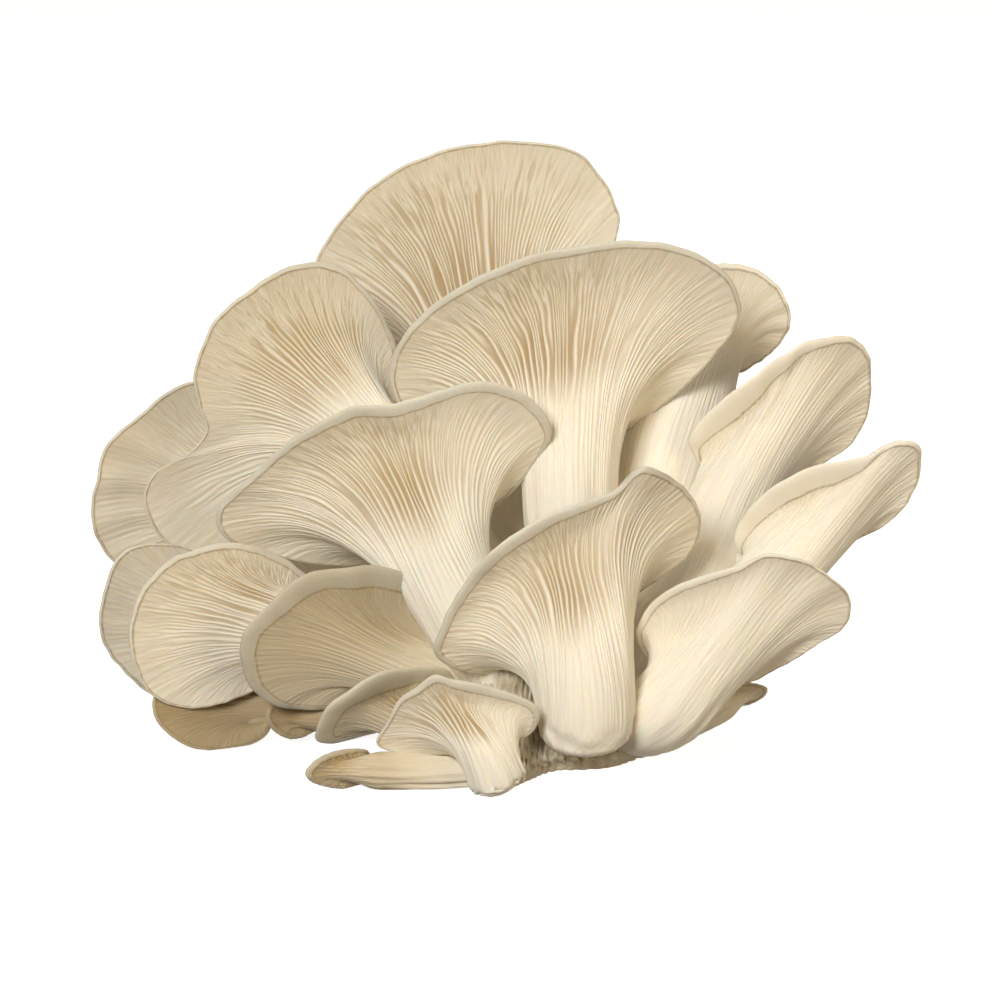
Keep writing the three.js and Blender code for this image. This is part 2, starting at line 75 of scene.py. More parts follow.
# Gills: room between two long ones at the neck, a blade's half thickness, and its least and most height.
# Each tier of gills has where it stands between two long ones, and the least and most room between them at
# which it starts. It gets to its height over some more room.
GILL_PITCH = 1.05
BLADE_HALF = 0.32
BLADE_HEIGHTS = (0.75, 1.1)
TIERS = [((0,), (0, 0.01)), ((0.5,), (1.2, 1.8)), ((0.25, 0.75), (2.2, 3.2))]
TIER_GROWTH = 0.7

# How far gills wander, in rooms: they drift round the cap, sway on the way out and frill near the rim.
GILL_DRIFT = 0.3
GILL_SWAY = 0.09
GILL_FRILL = 0.16
DRIFT_WAVES = 12
FRILL_WAVES = 12
FRILL_RUNS = (3, 8)

# Shares of the way from neck to rim, or below 0 from foot to neck. Gills rise as low ridges on the stem,
# get to their full height past the neck, get lower towards the rim, frill there, and end at the lip.
STEM_RISE = (-1, -0.2)
GILLS_FULL = (0, 0.5)
GILLS_LOWER = (0.55, 0.95)
GILLS_FRILL = (0.72, 0.95)
GILL_END = 0.98
GILL_END_WAVE = 0.008
GILL_FADE = (-0.04, 0.02)
ON_STEM = 0.14
NEAR_RIM = 0.5

# Gills stand crisp on the side of a cap that is seen up and to the left, and lie low and close elsewhere.
CRISP_SIDE = 118
CRISP_POWER = 2.2
LEAST_CRISP = 0.15

# Soft ridges of the stem fade out past the neck, and fine fibres show where no gill stands.
SOFT_RIDGE = 0.22
RIDGE_FADE = (-0.1, 0.5)
FIBRE_RISE = 0.05

# Forms shared with the solids: the curl and thickness of the rim, the funnel, the foot and the gills' bend.
RIM_CURL = 0.1
RIM_HALF = 1.3
RIM_HALF_GROWTH = 0.2
FUNNEL_SHARE = 0.6
FUNNEL_DIP = 0.05
FLESH = 4.5
FLESH_GROWTH = 0.8
ROUND_FOOT = 0.35
BEARING_SHARE = 0.5
STRAIGHTENING = 0.85
FLARE = (0.45, 0.4)

# Shares of a ring over which directions are evened, how far the top's set-off leans to the axis, its waves,
# and the short steps along the gills that give normals.
OUT_EVENED = 0.05
SET_OFF_EVENED = 0.04
SET_OFF_LEAN = 0.35
TOP_WAVE = 0.12
SHORT_STEP = 0.01
LAST_STEPS = (0.96, 0.98, 1)

# Steps of a closed curve from one of its points to the next.
CURVE_STEPS = 60

# Seeds of one mushroom are this far from those of the next, and those of the base start here.
SEEDS_APART = 100
BASE_SEED = 500

# The rim's share of the solids' thickness, the hem of skin that turns over the ends of the gills, rows
# close to it in hem widths, how the roll's rows crowd towards it, and the fine waves of the rim.
RIM_THIN = 0.55
HEM_RISE = 0.1
HEM_WIDTH = 0.32
HEM_ROWS = (2.5, 1.2, 0.5)
ROLL_CROWDING = 1.5
RIM_WAVE_OUT = 0.12
RIM_WAVE_ALONG = 0.3
RIM_WAVES = {"large": 1, "medium": 0.8, "small": 0.25}

# The dark line of the lip: its mean, how much it comes and goes, its least, and how it fades off the hem.
LINE_MEAN = 0.8
LINE_VARIES = 0.2
LINE_LEAST = 0.3
LINE_ON_GILLS = np.array([0, 0.35, 1])
LINE_ON_RIM = 0.9
SKIN_START = 3 * HEM_WIDTH

# Shares of the way over which the stem's pale flesh gives way, which is partly its own colour and partly
# painted light; over which painted shade colours the valleys between the gills; and over which the caps
# turn tan, partly their own colour and partly painted shade. A mushroom's own tone and painted shade fade
# out down its stem, and the gill crests keep paler.
STEM_PALE_AND_LIT = (-0.1, 0.7)
VALLEYS_SHADED = (0.1, 0.55)
CAP_SHADE_SPAN = (0.3, 0.85)
SHADE_STARTS = (-1, 0.2)
CREST_PALE = 0.6

# Seeded waves: their number, least and most turns round a ring, and least and most runs along the way.
WAVES = {
    "gill_sway": (10, (2, 26), (1, 5)),
    "gill_end": (10, (2, 40), (0, 0)),
    "soft_ridge": (10, (4, 16), (0, 1.2)),
    "fibre": (30, (30, 110), (0.5, 4)),
    "cap_top": (12, (3, 20), (0, 3)),
    "lip_line": (16, (5, 90), (0, 0)),
    "rim_out": (14, (4, 34), (0, 0)),
    "rim_along": (10, (3, 16), (0, 0)),
    "base_lumps": (12, (5, 16), (0.1, 0.5)),
    "base_flakes": (16, (18, 60), (0.3, 1.4)),
    "base_fibres": (24, (50, 160), (0.5, 4)),
    "base_edge": (16, (18, 60), (0, 0)),
}

# The marks that the finish reads from a mushroom's surface.
MARKS = ("groove", "skin", "lip", "fibre", "stem", "tan_and_shade")

# Nothing but the base goes lower than this above the floor.
FLOOR_GAP = 0.5

# Each mushroom: its rim as seen, the heart of its cap, how its rim plane leans, the line of its stem,
# the stem's radius at foot and neck, and the rim's roll: least and most width, and where it is widest.
# A rim point with a third number gives the width of the roll there. Some also give the thickness of their
# flesh, the pulls of their flare, how tan they are, partly in their own colour and partly in painted shade,
# how strong their gills are and how pale their skin is.
MUSHROOMS = {
    "top_back": dict(
        size="large",
        rim=[
            (29, 141), (28.3, 149), (25, 155), (18, 162), (3, 164), (-13, 162), (-28, 155.5),
            (-39, 145), (-46, 132), (-44, 117), (-25, 107), (0, 105), (20, 116),
        ],
        heart=(-1, 120, 100),
        lean=(0, 0.35),
        foot=(17, 28, 78),
        bend=(9, 60, 84),
        neck=(2, 86, 88),
        stem=(9, 11),
        edge=(0.5, 0.8, 120),
    ),
    "upper_large": dict(
        size="large",
        rim=[
            (59.3, 122), (56.5, 130), (48, 135.5), (35, 138), (20, 136.3), (5, 133), (-8, 127.2),
            (-18, 120.5), (-24.5, 112.5), (-26, 103), (-20, 95), (-3, 90), (15, 89), (30, 91.8),
            (45, 102.5), (56, 114.5),
        ],
        heart=(20, 106, 62),
        lean=(0, 0.8),
        foot=(24, 25, 58),
        bend=(18, 52, 54),
        neck=(17.5, 76, 54),
        stem=(10, 12.5),
        edge=(0.5, 2.3, 110),
    ),
    "upper_left": dict(
        size="large",
        rim=[
            (-26, 104), (-27.5, 114), (-33, 125), (-41, 132), (-51, 132.5), (-63, 126),
            (-71.5, 118), (-75.8, 107), (-74.5, 98), (-73, 91.5), (-78, 86), (-85.5, 82),
            (-88.3, 75.5), (-86, 68), (-79, 62), (-65, 57), (-45, 60), (-29, 76), (-24.5, 92),
        ],
        heart=(-42, 98, 74),
        lean=(-0.35, 0.4),
        foot=(14, 25, 62),
        bend=(-3, 57, 66),
        neck=(-25, 82, 70),
        stem=(9, 10),
        edge=(0.7, 1.9, 40),
    ),
    "far_left": dict(
        size="medium",
        rim=[
            (-76, 104), (-84, 100.5), (-90, 95), (-97, 89.5), (-100, 81), (-101.5, 71), (-99, 63.5),
            (-94, 58.5), (-86, 55.5), (-73, 56), (-60, 64), (-53, 80), (-57, 96), (-66, 104),
        ],
        heart=(-66, 80, 92),
        lean=(-0.5, 0.3),
        foot=(12, 28, 72),
        bend=(-20, 49, 80),
        neck=(-42, 62, 86),
        stem=(8, 9),
        edge=(0.7, 0.9, 120),
        tan_and_shade=0.15,
        gills=0.6,
    ),
    "far_left_low": dict(
        size="medium",
        rim=[
            (-95, 60), (-98, 53), (-99.5, 44), (-97.5, 37.5), (-92, 31), (-86, 26.5), (-76, 25),
            (-65, 30), (-59, 42), (-64, 55), (-76, 62), (-88, 63.5),
        ],
        heart=(-68, 43, 84),
        lean=(-0.5, 0.2),
        foot=(10, 27, 70),
        bend=(-20, 34, 76),
        neck=(-46, 38, 80),
        stem=(7, 8),
        edge=(0.7, 0.9, 120),
        gills=0.6,
    ),
    "left_round": dict(
        size="medium",
        rim=[
            (-40, 43), (-46, 52), (-55, 59), (-65, 62.5), (-75, 61.5), (-83, 58), (-89, 51),
            (-91.7, 41.5), (-90.5, 33), (-86.5, 26.5), (-79.5, 23.5), (-71, 24), (-60, 28), (-47, 33),
        ],
        heart=(-58, 44, 52),
        lean=(-0.5, 0.25),
        foot=(8, 23, 60),
        bend=(-22, 31, 57),
        neck=(-37, 38, 53),
        stem=(7, 8.5),
        edge=(0.6, 2, 90),
    ),
    "centre_left": dict(
        size="large",
        rim=[
            (11, 90), (9.5, 95), (4, 99.8), (-3, 102), (-9, 101.6), (-17, 98.5), (-27, 95.8),
            (-37, 95), (-50, 89.2), (-60, 81), (-67, 74.7), (-69.7, 70.5), (-67.5, 65.5), (-60, 62.2),
            (-48, 59.7), (-37, 59), (-24, 60), (-10, 67), (0, 75), (7, 82.5),
        ],
        heart=(-22, 78, 48),
        lean=(-0.1, 0.85),
        foot=(11, 19, 46),
        bend=(-2, 34, 40),
        neck=(-8, 45, 40),
        stem=(9, 11.5),
        edge=(0.8, 3.8, 92),
    ),
    "left_shaded": dict(
        size="medium",
        rim=[
            (-16, 42), (-19, 49), (-28, 52.5), (-38, 52.7), (-46, 51.8), (-56, 44.7), (-60, 40.5),
            (-61, 35.5), (-59.3, 29), (-55, 25), (-49, 23.7), (-38, 23.8), (-26, 25.5), (-18, 32),
        ],
        heart=(-30, 38, 44),
        lean=(-0.4, 0.6),
        foot=(11, 22, 48),
        bend=(2, 25, 44),
        neck=(-4, 26.5, 45),
        stem=(8, 9),
        edge=(1.5, 7, 115),
        tan_and_shade=0.9,
        gills=0.6,
    ),
    "left_bottom": dict(
        size="small",
        rim=[
            (-57, 22), (-59, 16.5), (-66, 13.6), (-75, 13.4), (-81, 16), (-85.5, 21), (-85, 27),
            (-77, 31), (-65, 30.5), (-58, 27.5),
        ],
        heart=(-66, 25, 54),
        lean=(-0.5, -0.25),
        foot=(5, 22, 64),
        bend=(-25, 24, 66),
        neck=(-50, 24.5, 66),
        stem=(6, 6.5),
        edge=(0.7, 0.9, 200),
        flesh=2.5,
        tan_and_shade=1.6,
    ),
    "left_button": dict(
        size="small",
        rim=[
            (-57, 22), (-56, 18.5), (-52, 16.2), (-47.5, 17.2), (-45, 20), (-46, 25), (-52, 27),
        ],
        heart=(-50, 21, 52),
        lean=(-0.4, 0.2),
        foot=(5, 19, 57),
        bend=(-25, 21, 55),
        neck=(-43, 21, 53),
        stem=(4, 4),
        edge=(0.8, 1.4, 200),
        flesh=1.5,
        tan_and_shade=1.8,
    ),
    "small_hooded": dict(
        size="small",
        rim=[
            (-14, 28), (-17.5, 30), (-25, 28), (-31, 26), (-37, 23.5), (-40, 20.5), (-41.7, 16.5),
            (-39, 15.7), (-34, 17), (-26, 20), (-18, 24),
        ],
        heart=(-26, 23, 24),
        lean=(-0.9, 1.2),
        foot=(8, 16, 40),
        bend=(-8, 16, 31),
        neck=(-18, 18, 26),
        stem=(5, 5),
        edge=(2.5, 8.5, 125),
        flesh=2.5,
        tan_and_shade=0.6,
    ),
    "front_small": dict(
        size="small",
        rim=[
            (8.3, 19.5), (7.5, 22.5), (3, 24.5), (-4, 26.2), (-11, 27.7), (-15.8, 29.3), (-20, 26.7),
            (-24.5, 24), (-27.5, 19), (-30.3, 14.3), (-27, 12.2), (-21, 10.7), (-11, 11.5), (0, 13.8),
            (6, 16),
        ],
        heart=(-10, 18, 8),
        lean=(-0.1, 0.8),
        foot=(-0.6, 4.4, 9),
        bend=(-0.8, 4.9, 8.8),
        neck=(-1, 5.6, 8.5),
        stem=(6.4, 7.2),
        edge=(0.6, 2.6, 70),
        flesh=3,
        flare=(0.55, 0.4),
    ),
    "front_lying": dict(
        size="small",
        rim=[
            (-33, 11.4), (-39, 11.2), (-44, 9.6), (-46.8, 6.8), (-45.5, 4.6), (-40, 3.6), (-34, 4),
        ],
        heart=(-38, 7.4, 11),
        lean=(-1.1, 0.4),
        foot=(4, 8, 22),
        bend=(-14, 6.2, 13.5),
        neck=(-29, 7.2, 12.5),
        stem=(5, 5),
        edge=(0.8, 1.8, 150),
        flesh=2.5,
        tan_and_shade=1.1,
    ),
    "front_centre": dict(
        size="large",
        rim=[
            (49.6, 67.5), (48.8, 72.5), (45, 77.5), (37.5, 81.7), (33.5, 80.5), (28.5, 75.6),
            (18, 70.7), (7.5, 65.2), (-1, 59.2), (-9, 49.5), (-13.5, 41.3), (-14.5, 37.3), (-12, 34.5),
            (-6, 32.4), (4, 33.5), (18, 40), (30, 48.5), (40, 55.5), (47.3, 62),
        ],
        heart=(17, 54, 22),
        lean=(-0.6, 0.9),
        foot=(21.3, 17.8, 22),
        bend=(21.3, 19.5, 21),
        neck=(21.3, 22, 20),
        stem=(11.8, 12.6),
        edge=(0.4, 4, 135),
        flare=(0.55, 0.4),
    ),
    "front_right": dict(
        size="medium",
        rim=[
            (87.4, 48.5), (85.5, 52.7), (80, 56.9), (73, 60), (66, 60.3), (60, 57.3), (52, 54.4),
            (43.5, 51), (38, 46.3), (35.5, 41), (38, 36), (47, 31.5), (60, 29.3), (70, 33.3),
            (79, 38.7), (85.5, 43),
        ],
        heart=(58, 42, 24),
        lean=(0, 0.85),
        foot=(31, 21, 38),
        bend=(38, 18, 28),
        neck=(44, 25.5, 26),
        stem=(9, 10.6),
        edge=(0.4, 2, 140),
        flare=(0.35, 0.28),
        pale_skin=0.6,
        gills=0.4,
    ),
    "right_button": dict(
        size="small",
        rim=[
            (65.5, 28), (65.5, 26), (62, 24.3), (58, 24.3), (56, 26), (60, 28.5),
        ],
        heart=(60, 26, 44),
        lean=(0.5, 0.3),
        foot=(40, 16, 50),
        bend=(50, 19, 45),
        neck=(56, 23, 44),
        stem=(3, 3),
        edge=(0.8, 1.2, 120),
        flesh=1.5,
    ),
    "far_right": dict(
        size="medium",
        rim=[
            (104.8, 84.8, 1), (103.3, 88.2, 1.3), (99, 88.4, 1.6), (94.5, 85.8, 3.2),
            (89.5, 82, 5.5), (83.5, 78.8, 7.2), (76, 76.3, 7.2), (68.5, 72, 6), (62.5, 66.5, 4),
            (60.5, 62.5, 1.2), (63.5, 59.5, 0.6), (73, 59.5, 0.5), (87, 64.3, 0.5), (97, 69.5, 0.6),
            (103.2, 77.3, 0.8),
        ],
        heart=(80, 68, 46),
        lean=(-0.2, 0.8),
        foot=(35, 20, 48),
        bend=(54, 38, 44),
        neck=(68, 55, 44),
        stem=(8.5, 10),
        edge=(0.5, 0.6, 135),
        flare=(0.32, 0.22),
        pale_skin=0.85,
        gills=0.4,
    ),
    "right_upper": dict(
        size="medium",
        rim=[
            (92.5, 105, 0.6), (91.5, 110.7, 1), (87, 114.3, 1.6), (79, 112.6, 3), (71.8, 108, 5.2),
            (65.5, 101, 7), (58.5, 94.5, 8), (52.5, 90.5, 5.5), (50, 87, 2), (52, 82.5, 0.6),
            (60, 78.5, 0.5), (70, 79, 0.5), (79, 83.5, 0.5), (87, 88.5, 0.5), (91.5, 96, 0.5),
        ],
        heart=(68, 90, 64),
        lean=(-0.4, 0.8),
        foot=(33, 22, 54),
        bend=(47, 50, 57),
        neck=(57, 74, 61),
        stem=(10, 10.5),
        edge=(0.5, 0.6, 135),
        flare=(0.32, 0.22),
        pale_skin=0.8,
        gills=0.5,
    ),
    "back_right": dict(
        size="medium",
        rim=[
            (72, 120.5), (70, 126.3), (65.5, 130.5), (60, 132.4), (53, 132), (46, 127), (42, 118),
            (47, 109), (57, 106.5), (65.5, 110.5), (70.5, 115.5),
        ],
        heart=(56, 118, 88),
        lean=(0.25, 0.45),
        foot=(28, 26, 66),
        bend=(35, 65, 74),
        neck=(43, 90, 80),
        stem=(11, 14),
        edge=(0.6, 1.6, 110),
        pale_skin=0.6,
        gills=0.7,
    ),
}

# The base: its outline on the floor, each level's height, share of the outline and shift away, and its
# tears, which start and lift over these heights.
BASE_OUTLINE = [
    (3, 16), (8, 23), (14, 31), (28, 34), (36, 44), (46, 58), (50, 76), (38, 92),
    (12, 98), (-14, 93), (-29, 78), (-29, 60), (-18, 44), (-6, 28), (-3, 19),
]
BASE_HEIGHTS = [0, 4, 12, 21, 29, 32]
BASE_SHARES = [1, 1.02, 0.95, 0.8, 0.55, 0]
BASE_SHIFTS = [0, 0, 1, 3, 5, 5]
BASE_COLUMNS = 560
BASE_ROWS = 48
BASE_TEAR = 1.6
BASE_LUMPS = 0.7
BASE_FLAKES = 0.8
BASE_FIBRES = 0.35
TEAR_STARTS = (0.3, 4)
TEAR_LIFTS = (1, 6)
TEAR_LIFT = 0.5
FLOOR_SHARES = np.array([0.35, 0.75, 1])

# Colours, as shares of red, green and blue light.
CREAM = ((0.86, 0.80, 0.675), (0.91, 0.86, 0.75))
# Paler cream of the stems, partly their own colour and partly painted light.
STEM_CREAM_AND_LIGHT = (0.94, 0.89, 0.785)
FIBRE_OCHRE = (0.78, 0.67, 0.48)
# The tan of the caps is partly their own colour and partly painted shade; the brown is painted shade.
CAP_TAN_AND_SHADE = (0.57, 0.475, 0.31)
SHADE_BROWN = (0.36, 0.25, 0.11)
# Painted shade in the valleys between the gills.
VALLEY_SHADE = (0.42, 0.28, 0.12)
SKIN_GREY = ((0.64, 0.61, 0.505), (0.74, 0.71, 0.615))
PORE_BROWN = (0.56, 0.50, 0.36)
# Brown of the skin on tan caps, partly its own colour and partly painted shade.
SKIN_TAN_AND_SHADE = (0.36, 0.27, 0.14)
LIP_BROWN = (0.30, 0.22, 0.10)
TISSUE = ((0.64, 0.59, 0.46), (0.79, 0.75, 0.62))
TISSUE_DEEP = (0.34, 0.25, 0.13)
FLOOR_WHITE = (0.9, 0.9, 0.9, 1)
WARM_AIR = (1, 0.77, 0.46, 1)

# What colours the flesh in turn: a mark, the range of it that counts, the colour's most share, the colour.
FLESH_LAYERS = [
    # The stems' paler cream, partly their own colour and partly painted light.
    ("stem", (0, 1), 1, STEM_CREAM_AND_LIGHT),
    ("fibre", (-1.5, 1.5), 0.25, FIBRE_OCHRE),
    # Tan and brown, partly the flesh's own colour and partly painted shade.
    ("tan_and_shade", (0.1, 1), 0.75, CAP_TAN_AND_SHADE),
    ("tan_and_shade", (0.9, 2), 0.8, SHADE_BROWN),
    # Painted shade in the valleys between the gills.
    ("groove", (0.25, 0.9), 0.85, VALLEY_SHADE),
]

# Softboxes: where each stands, its width and power, and its colour. They are aimed at the cluster's middle.
SOFTBOXES = {
    "key": ((-460, -1250, 800), 460, 18, (1, 0.985, 0.95)),
    "fill": ((1000, -950, 260), 800, 6.5, (1, 0.85, 0.6)),
    "top": ((-100, 450, 1500), 1400, 7, (0.97, 0.98, 1)),
}
CLUSTER_MIDDLE = (0, 0, 70)
FLOOR_REACH = 8000
FLOOR_GLOW = 0.85
AIR_GLOW = 0.14


def place(seen):
    """Points of the part for points set out as seen: right and up spread with the distance away."""
    seen = np.asarray(seen, float)
    spread = 1 + seen[..., 2:] / VIEW_DISTANCE
    across = seen[..., :1] * spread * RIGHT
    height = ((seen[..., 1:2] - EYE_LEVEL) * spread + EYE_LEVEL) * UP
    return across + height + seen[..., 2:] * AWAY - CUT_FACE_MIDDLE


def unit(vectors):
    """Each vector divided by its length."""
    return vectors / np.maximum(np.linalg.norm(vectors, axis=-1, keepdims=True), 1e-9)


def square_to(vectors, direction):
    """Each vector without its share along a unit direction."""
    return vectors - (vectors @ direction)[..., None] * direction


def smooth(x, low, high):
    """0 below low, 1 above high, and 3t^2 - 2t^3 between them."""
    t = np.clip((x - low) / (high - low), 0, 1)
    return t * t * (3 - 2 * t)


def ripple(u, v, seed, waves, turns, runs):
    """Seeded waves over a closed bearing u and a way v, between about -1 and 1.

    The sum of cosines, each with a whole number of turns round u and some runs along v, divided by the
    square root of their number.
    """
    draw = np.random.default_rng(seed)
    total = 0
    for _ in range(waves):
        turn = draw.integers(turns[0], turns[1] + 1)
        run = draw.uniform(runs[0], runs[1]) * draw.choice([-1, 1])
        total = total + np.cos(2 * np.pi * (turn * u + run * v + draw.uniform()))
    return total / math.sqrt(waves)


def closed_curve(points, count):
    """Points at even steps along the closed Catmull-Rom curve through the given points.

    Numbers after the first three of a point are carried along.
    """
    x = np.arange(len(points) * CURVE_STEPS) / CURVE_STEPS
    first = np.floor(x).astype(int)
    t = (x - first)[:, None]
    a, b, c, d = (points[(first + step) % len(points)] for step in (-1, 0, 1, 2))
    curve = 0.5 * (2 * b + (c - a) * t + (2 * a - 5 * b + 4 * c - d) * t**2 + (3 * b - a - 3 * c + d) * t**3)
    closed = np.vstack([curve, curve[:1]])
    length = np.concatenate([[0], np.cumsum(np.linalg.norm(np.diff(closed[:, :3], axis=0), axis=1))])
    steps = np.arange(count) / count * length[-1]
    return np.stack([np.interp(steps, length, values) for values in closed.T], axis=1)


def pulled(a, b, c, d, w):
    """The cubic curve from a to d, pulled towards b and c, at each w."""
    w = np.asarray(w, float)[:, None, None]
    return (1 - w) ** 3 * a + 3 * (1 - w) ** 2 * w * b + 3 * (1 - w) * w**2 * c + w**3 * d


def gill_crests(u, way, pitch, count, seed):
    """How high the gills stand, from 0 in a groove to 1 on a crest.

    Long gills stand where a phase, which goes count times round, is a whole number. Shorter ones stand
    at a half and at the quarters, and start where the room between the long gills, in pitch, is wide
    enough. A blade's height falls from its middle as exp(-(x / half thickness)^2). The phase drifts
    round the cap, sways on the way out, and frills near the rim.
    """
    draw = np.random.default_rng(seed)
    drift = GILL_DRIFT * ripple(u, 0, seed + 1, DRIFT_WAVES, (3, count // 3), (0, 0))
    sway = GILL_SWAY * ripple(u, way, seed + 2, *WAVES["gill_sway"])
    frill = ripple(u, way, seed + 3, FRILL_WAVES, (count // 2, 2 * count), FRILL_RUNS)
    phase = count * u + drift + sway + GILL_FRILL * smooth(way, *GILLS_FRILL) * frill
    crest = np.zeros_like(pitch)
    for stands, (low, high) in TIERS:
        for stand in stands:
            number = np.rint(phase - stand).astype(int)
            aside = np.abs(phase - stand - number) * pitch
            start = draw.uniform(low, high, count)[number % count]
            height = draw.uniform(*BLADE_HEIGHTS, count)[number % count]
            blade = np.exp(-((aside / BLADE_HALF) ** 2)) * smooth(pitch, start, start + TIER_GROWTH)
            crest = np.maximum(crest, height * blade)
    return crest


def evened(grid, share):
    """The mean of each point and its neighbours in the same ring, over a share of the ring, taken twice."""
    columns = grid.shape[-2]
    side = max(int(share * columns / 2), 1)
    for _ in range(2):
        padded = np.concatenate([grid[..., -side - 1:, :], grid, grid[..., :side, :]], axis=-2)
        summed = np.cumsum(padded, axis=-2)
        grid = (summed[..., 2 * side + 1:, :] - summed[..., :-2 * side - 1, :]) / (2 * side + 1)
    return grid


def normals_of(grid):
    """Unit normals of a grid of points, closed round its columns: step round crossed with step along."""
    around = np.roll(grid, -1, axis=1) - np.roll(grid, 1, axis=1)
    return unit(np.cross(around, np.gradient(grid, axis=0)))


def seen_bearings(spokes):
    """The angle of each spoke as seen, from the right and turning up."""
    return np.arctan2(spokes @ UP, spokes @ RIGHT)


def turned_to(spokes, side):
    """1 for a spoke that is seen to point to the side, in degrees, falling to 0 for the opposite one."""
    return (1 + np.cos(seen_bearings(spokes) - math.radians(side))) / 2


def cap_rim(recipe, seed, u):
    """The lip at each share u of its length, the rim's corners, the spokes, the way out and the axis.

    The lip is the closed curve through the rim's points as seen, whose depth falls along the lean. The
    spokes go from the heart to the lip. The way out is a spoke without its share along the axis, evened
    round the ring. Seeded waves then move the lip outwards and along the axis.
    """
    heart_right, heart_up, heart_away = recipe["heart"]
    lean_right, lean_up = recipe["lean"]
    rim = np.array([point[:2] for point in recipe["rim"]], float)
    depth = heart_away - lean_right * (rim[:, 0] - heart_right) - lean_up * (rim[:, 1] - heart_up)
    corners = place(np.column_stack([rim, depth]))
    axis = unit(lean_right * RIGHT + lean_up * UP + AWAY)
    lip = closed_curve(corners, len(u))
    spokes = lip - place(recipe["heart"])
    flat = unit(evened(unit(square_to(spokes, axis)), OUT_EVENED))
    waves = RIM_WAVES[recipe["size"]]
    lip = lip + waves * RIM_WAVE_OUT * ripple(u, 0, seed + 11, *WAVES["rim_out"])[:, None] * flat
    lip = lip + waves * RIM_WAVE_ALONG * ripple(u, 0, seed + 12, *WAVES["rim_along"])[:, None] * axis
    return lip, corners, spokes, flat, axis


def stem_rings(recipe, u, spokes):
    """The stem's rings, the rings and the pole of its rounded foot, and the way it climbs at the neck.

    A ring is a circle square to the stem's curve, which is pulled from foot to neck towards the bend. Its
    columns stand between even bearings and the bearings of the spokes. The foot is half an ellipsoid.
    """
    foot, bend, neck = (place(recipe[key]) for key in ("foot", "bend", "neck"))
    foot_radius, neck_radius = recipe["stem"]
    climb = unit(neck - bend)
    across = unit(square_to(RIGHT[None], climb))[0]
    angle = np.unwrap(np.arctan2(spokes @ np.cross(climb, across), spokes @ across))
    even = np.sign(angle[-1] - angle[0]) * 2 * np.pi * u
    even = even + np.mean(angle - even)
    bearing = even + BEARING_SHARE * (angle - even)
    w = np.linspace(0, 1, STEM_ROWS)[:, None]
    middle = (1 - w) ** 2 * foot + 2 * (1 - w) * w * bend + w**2 * neck
    along = unit((1 - w) * (bend - foot) + w * (neck - bend))
    first = unit(across - (along @ across)[:, None] * along)
    second = np.cross(along, first)
    ring = np.cos(bearing)[None, :, None] * first[:, None] + np.sin(bearing)[None, :, None] * second[:, None]
    stem = middle[:, None] + (foot_radius + (neck_radius - foot_radius) * w)[:, None] * ring
    sunk = np.linspace(np.pi / 2, 0, FOOT_ROWS + 1)[:-1, None, None]
    deep = ROUND_FOOT * foot_radius * along[0]
    round_foot = foot + foot_radius * ring[0] * np.cos(sunk) - deep * np.sin(sunk)
    return stem, round_foot, foot - deep, climb


def gill_relief(recipe, seed, u, way, room, spokes):
    """How far gills, soft ridges and fibres lift stem and gill side, and the marks that go with them.

    The lift is the rise of the gills by their crest and by how they stand at this way and on this side of
    the cap, plus seeded waves. Room is the length round the ring that goes through each point.
    """
    count = int(round(2 * np.pi * recipe["stem"][1] / GILL_PITCH))
    crest = gill_crests(u, way, room / count, count, seed)
    crisp = LEAST_CRISP + (1 - LEAST_CRISP) * turned_to(spokes, CRISP_SIDE) ** CRISP_POWER
    crisp = recipe.get("gills", 1) * crisp
    end = GILL_END + GILL_END_WAVE * ripple(u, 0, seed + 4, *WAVES["gill_end"])
    stand = smooth(way, *STEM_RISE) * (ON_STEM + (1 - ON_STEM) * smooth(way, *GILLS_FULL))
    stand = stand * (1 - NEAR_RIM * smooth(way, *GILLS_LOWER))
    stand = crisp * stand * (1 - smooth(way, end + GILL_FADE[0], end + GILL_FADE[1]))
    soft = SOFT_RIDGE * (1 - smooth(way, *RIDGE_FADE)) * ripple(u, way, seed + 5, *WAVES["soft_ridge"])
    fibre = ripple(u, way, seed + 6, *WAVES["fibre"])
    lift = GILL_RISE[recipe["size"]] * crest * stand + soft + FIBRE_RISE * fibre * (1 - stand)
    crest = np.clip(crest, 0, 1)
    # A mushroom's own tan and painted shade, fading out down its stem.
    shade = recipe.get("tan_and_shade", 0) * smooth(way, *SHADE_STARTS)
    marks = dict(
        # Painted shade in the valleys between the gills, where they stand.
        groove=stand * (1 - crest) * smooth(way, *VALLEYS_SHADED),
        fibre=fibre,
        # Paler stems, partly their own colour and partly painted light; it fades out up the gills.
        stem=1 - smooth(way, *STEM_PALE_AND_LIT),
        # Partly the caps' own tan, partly painted shade; the share towards the rim is painted shade.
        tan_and_shade=shade + crisp * smooth(way, *CAP_SHADE_SPAN) * (1 - CREST_PALE * crest),
    )
    return lift, marks


